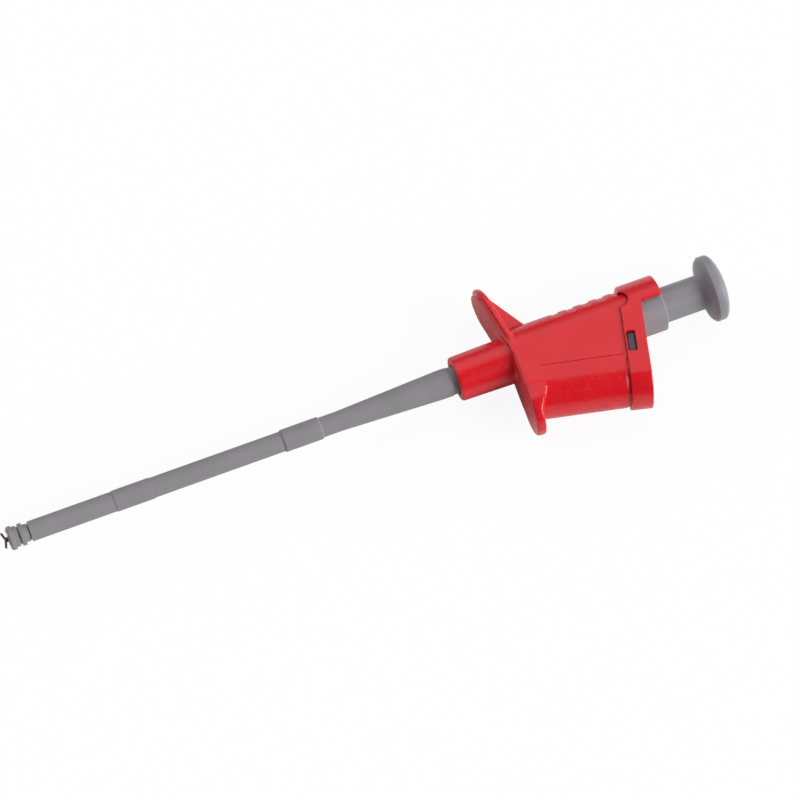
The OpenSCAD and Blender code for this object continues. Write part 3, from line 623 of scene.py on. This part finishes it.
def handle_shell(mats):
    shell = soft_shell("housing", "handle_shell", voxel=0.16, rounds=3)
    x, y, _ = points_of(shell).T
    near_flange = fall(np.abs(x - FLANGE_X - WING_MIDDLE), WING_SIDE, WING_SIDE_RUN)
    soften(shell, near_flange * rise(-y, WING_TOP, WING_TOP_RUN), rounds=6)
    x, y, _ = points_of(shell).T
    behind_front = x - FLANGE_X - LOWER_LEAN * y
    front = rise(-behind_front, -FRONT_SKIN, FRONT_SKIN_RUN)
    soften(shell, front * rise(-y, FRONT_TOP, FRONT_TOP_RUN), rounds=60)
    neck_in(shell)
    modified(shell, "DECIMATE", ratio=0.42)
    for cutter in (guide_way(), crease(1), crease(-1)):
        combine(shell, "DIFFERENCE", cutter)
    without_folds(shell)
    place(shell, "handle", "housing", "red_plastic", mats)


def cap_shell(mats):
    shell = soft_shell("end_cap", "cap_shell", voxel=0.13, rounds=3)
    x, y, _ = in_frame(points_of(shell), CAP_FRAME).T
    hood_front = fall(np.abs(x), HOOD_SIDE, HOOD_SIDE_RUN) * rise(y, HOOD_FOOT, HOOD_FOOT_RUN)
    soften(shell, hood_front, rounds=22)
    place(shell, "handle", "end_cap", "red_plastic", mats)


# ---------------------------------------------------------------- the other mouldings
# A latch nose stands out from this height, and drops by this much towards its front end,
# over a run that ends this far behind the cap's front face.
LATCH_Z, LATCH_Z_RUN = 5.75, 0.2
LATCH_DROP = 0.35
LATCH_REAR, LATCH_RUN = 1.7, 1.3

# Each turned piece of the handle: its CAD node, name, slot, the radius of its corners and
# its frame.
TURNED = (
    ("stem_taper", "stem", "grey_plastic", 0.14, IDENTITY),
    ("stem_tube", "thin_tube", "grey_plastic", 0.06, IDENTITY),
    ("tip_nozzle", "nozzle", "grey_plastic", 0.08, IDENTITY),
    ("mouth_bush", "mouth_rim", "nickel", 0.07, IDENTITY),
    ("socket_contact", "contact_sleeve", "nickel", 0.12, SOCKET_FRAME),
    ("socket_insulator", "inner_insulator", "dark_plastic", 0.15, SOCKET_FRAME),
)


def carrier(mats):
    """The inner carrier: its latch noses slope towards the cap's front."""
    shell = soft_shell("guide_insert", "latch_carrier", voxel=0.12, rounds=2)
    points = points_of(shell)
    x, _, z = in_frame(points, CAP_FRAME).T
    nose = rise(np.abs(z), LATCH_Z, LATCH_Z_RUN)
    slope = np.clip((LATCH_REAR - x) / LATCH_RUN, 0, 1)
    points[:, 2] -= np.sign(z) * nose * slope * LATCH_DROP
    set_points(shell, points)
    place(shell, "handle", "guide_insert", "dark_plastic", mats)


def thumb_plunger(mats):
    body = turned("plunger", "thumb_plunger", radius=0.16)
    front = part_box("plunger")[0].x / MM + NOSE_LEN
    key = box("key", (front, KEY_FOOT, -KEY_HALF), (front + KEY_LEN, KEY_TOP, KEY_HALF),
              bevel=0.12)
    combine(body, "UNION", key)
    place(body, "slider", "plunger", "plunger_plastic", mats)
    even_normals(body)


def turned_pieces(mats):
    for node, name, slot, radius, local in TURNED:
        piece = turned(node, name, radius, local)
        place(piece, "handle", node, slot, mats)
        even_normals(piece)


def claws(mats):
    for side in ("upper", "lower"):
        claw = soft_shell(f"claw_{side}", f"{side}_claw", voxel=0.05, rounds=2)
        place(claw, f"{side}_jaw", f"claw_{side}", "claw_steel", mats)


def coil_spring(mats):
    """The return spring as a copy of its CAD node, with a mesh of its own."""
    spring = link("coil_spring", welded_copy("return_spring"))
    place(spring, "handle", "return_spring", "steel", mats)
    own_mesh(spring)


def dress_frame(mats):
    """Gives each CAD node the finish of its slot."""
    slots = {p["node"]: p["material_slot"] for p in frame["record"]["subparts"]}
    for name, obj in NODES.items():
        obj.data.materials.clear()
        obj.data.materials.append(mats[slots[name]])


# ---------------------------------------------------------------- floor, in metres
FLOOR_Z = cad_box[0].z
FLOOR_HALF = 3.0
# Its paper: the size of its clouds, its two greys and its roughness.
PAPER = 2 * MM
PAPER_GREYS = (0.86, 0.88)
PAPER_ROUGH = 0.9
# How much of the floor glows by itself, to the camera and to reflections. The lights do
# the rest.
GLOW_SEEN = 0.93
GLOW_REFLECTED = 0.25
# Reflections show that glow with painted shade: dimmed to this level towards -Y, and in a
# painted shadow around a place in front of the finger flange. Each dimming ends between two
# places along Y, or two distances.
PAINTED_SHADE_LEVEL = 0.2
PAINTED_SHADE_Y = (-0.11, -0.025)
SHADE_AT = Vector((0.104, 0.003, FLOOR_Z))
SHADE_R = (0.013, 0.022)


def make_floor():
    """A pale floor, nearly white to the camera, that reflections show with painted shade and a
    painted shadow in places.
    """
    far = FLOOR_HALF
    corners = [(x, y, FLOOR_Z) for x, y in ((-far, -far), (far, -far), (far, far), (-far, far))]
    mesh = bpy.data.meshes.new("floor")
    mesh.from_pydata(corners, [], [(0, 1, 2, 3)])
    floor = link("floor", mesh)
    f = Finish("floor")
    grey_a, grey_b = ((g, g, g, 1) for g in PAPER_GREYS)
    f.surface(f.blend(f.noise(PAPER, detail=3.0), grey_a, grey_b), PAPER_ROUGH)

    place_y = f.node("SeparateXYZ", Vector=f.where).outputs["Y"]
    from_shade = f.node("VectorMath", Vector=f.where)
    from_shade.operation = "DISTANCE"
    f.set(from_shade.inputs[1], SHADE_AT)
    # Painted shade on the glow that reflections see: darker towards -Y, and a painted shadow in
    # front of the flange.
    painted_shade = f.math("MULTIPLY", f.ramp(place_y, *PAINTED_SHADE_Y, to_low=PAINTED_SHADE_LEVEL),
                    f.ramp(from_shade.outputs["Value"], *SHADE_R, to_low=PAINTED_SHADE_LEVEL))
    rays = f.node("LightPath").outputs
    seen = f.math("MAXIMUM", rays["Is Camera Ray"], rays["Is Transmission Ray"])
    reflected = rays["Is Glossy Ray"]
    level = f.math("MAXIMUM", seen, f.math("MULTIPLY", reflected, painted_shade))
    share = f.math("MAXIMUM", f.math("MULTIPLY", seen, GLOW_SEEN),
                   f.math("MULTIPLY", reflected, GLOW_REFLECTED))
    glow = f.node("Emission", Color=WHITE, Strength=level)
    f.set(f.out.inputs["Surface"], f.mixed(share, f.bsdf.outputs[0], glow.outputs[0]))
    floor.data.materials.append(f.mat)


# ---------------------------------------------------------------- lights
# The room is dim all round, and brighter towards both ends of the X axis.
ROOM = 0.09
ROOM_ALONG_X = 0.16
# A wide soft panel hangs overhead, on the side away from the socket. It fades in as the Y
# and the Z of a direction rise from the first value to the second.
PANEL = 1.2
PANEL_Y = (0.0, 0.34)
PANEL_Z = (0.2, 0.7)
# It reaches lower towards -X.
PANEL_DIP = 0.3
# A round soft lamp stands behind the button, on the side of the socket. It has its full
# level up to the first angle from its middle, in degrees, and ends at the second.
KEY = 8.6
KEY_FROM = Vector((0.68, -0.52, 0.5)).normalized()
KEY_HALF_ANGLES = (8.0, 28.0)


def make_world():
    """A dim room with a soft panel overhead and a soft key lamp, white to the camera."""
    world = bpy.data.worlds.new("studio")
    bpy.context.scene.world = world
    world.use_nodes = True
    world.node_tree.nodes.clear()
    n = Nodes(world.node_tree)
    towards = n.node("TexCoord").outputs["Generated"]
    split = n.node("SeparateXYZ", Vector=towards).outputs
    to_key = n.node("VectorMath", Vector=towards)
    to_key.operation = "DOT_PRODUCT"
    n.set(to_key.inputs[1], KEY_FROM)

    room = n.math("MULTIPLY_ADD", n.math("ABSOLUTE", split["X"]), ROOM_ALONG_X, ROOM)
    height = n.math("MULTIPLY_ADD", n.math("MINIMUM", split["X"], 0.0), -PANEL_DIP, split["Z"])
    panel = n.math("MULTIPLY", n.ramp(split["Y"], *PANEL_Y, to_high=PANEL, how="SMOOTHSTEP"),
                   n.ramp(height, *PANEL_Z, how="SMOOTHSTEP"))
    inner, outer = (math.cos(math.radians(a)) for a in KEY_HALF_ANGLES)
    key = n.ramp(to_key.outputs["Value"], outer, inner, to_high=KEY, how="SMOOTHSTEP")
    level = n.math("ADD", n.math("ADD", room, panel), key)

    lit = n.node("Background", Color=WHITE, Strength=level)
    white = n.node("Background", Color=WHITE)
    to_camera = n.node("LightPath").outputs["Is Camera Ray"]
    out = n.node("OutputWorld")
    n.set(out.inputs["Surface"], n.mixed(to_camera, lit.outputs[0], white.outputs[0]))


make_camera()
materials = make_materials()
dress_frame(materials)
handle_shell(materials)
cap_shell(materials)
carrier(materials)
thumb_plunger(materials)
turned_pieces(materials)
claws(materials)
coil_spring(materials)
make_floor()
make_world()
bpy.context.scene.view_settings.view_transform = "Standard"
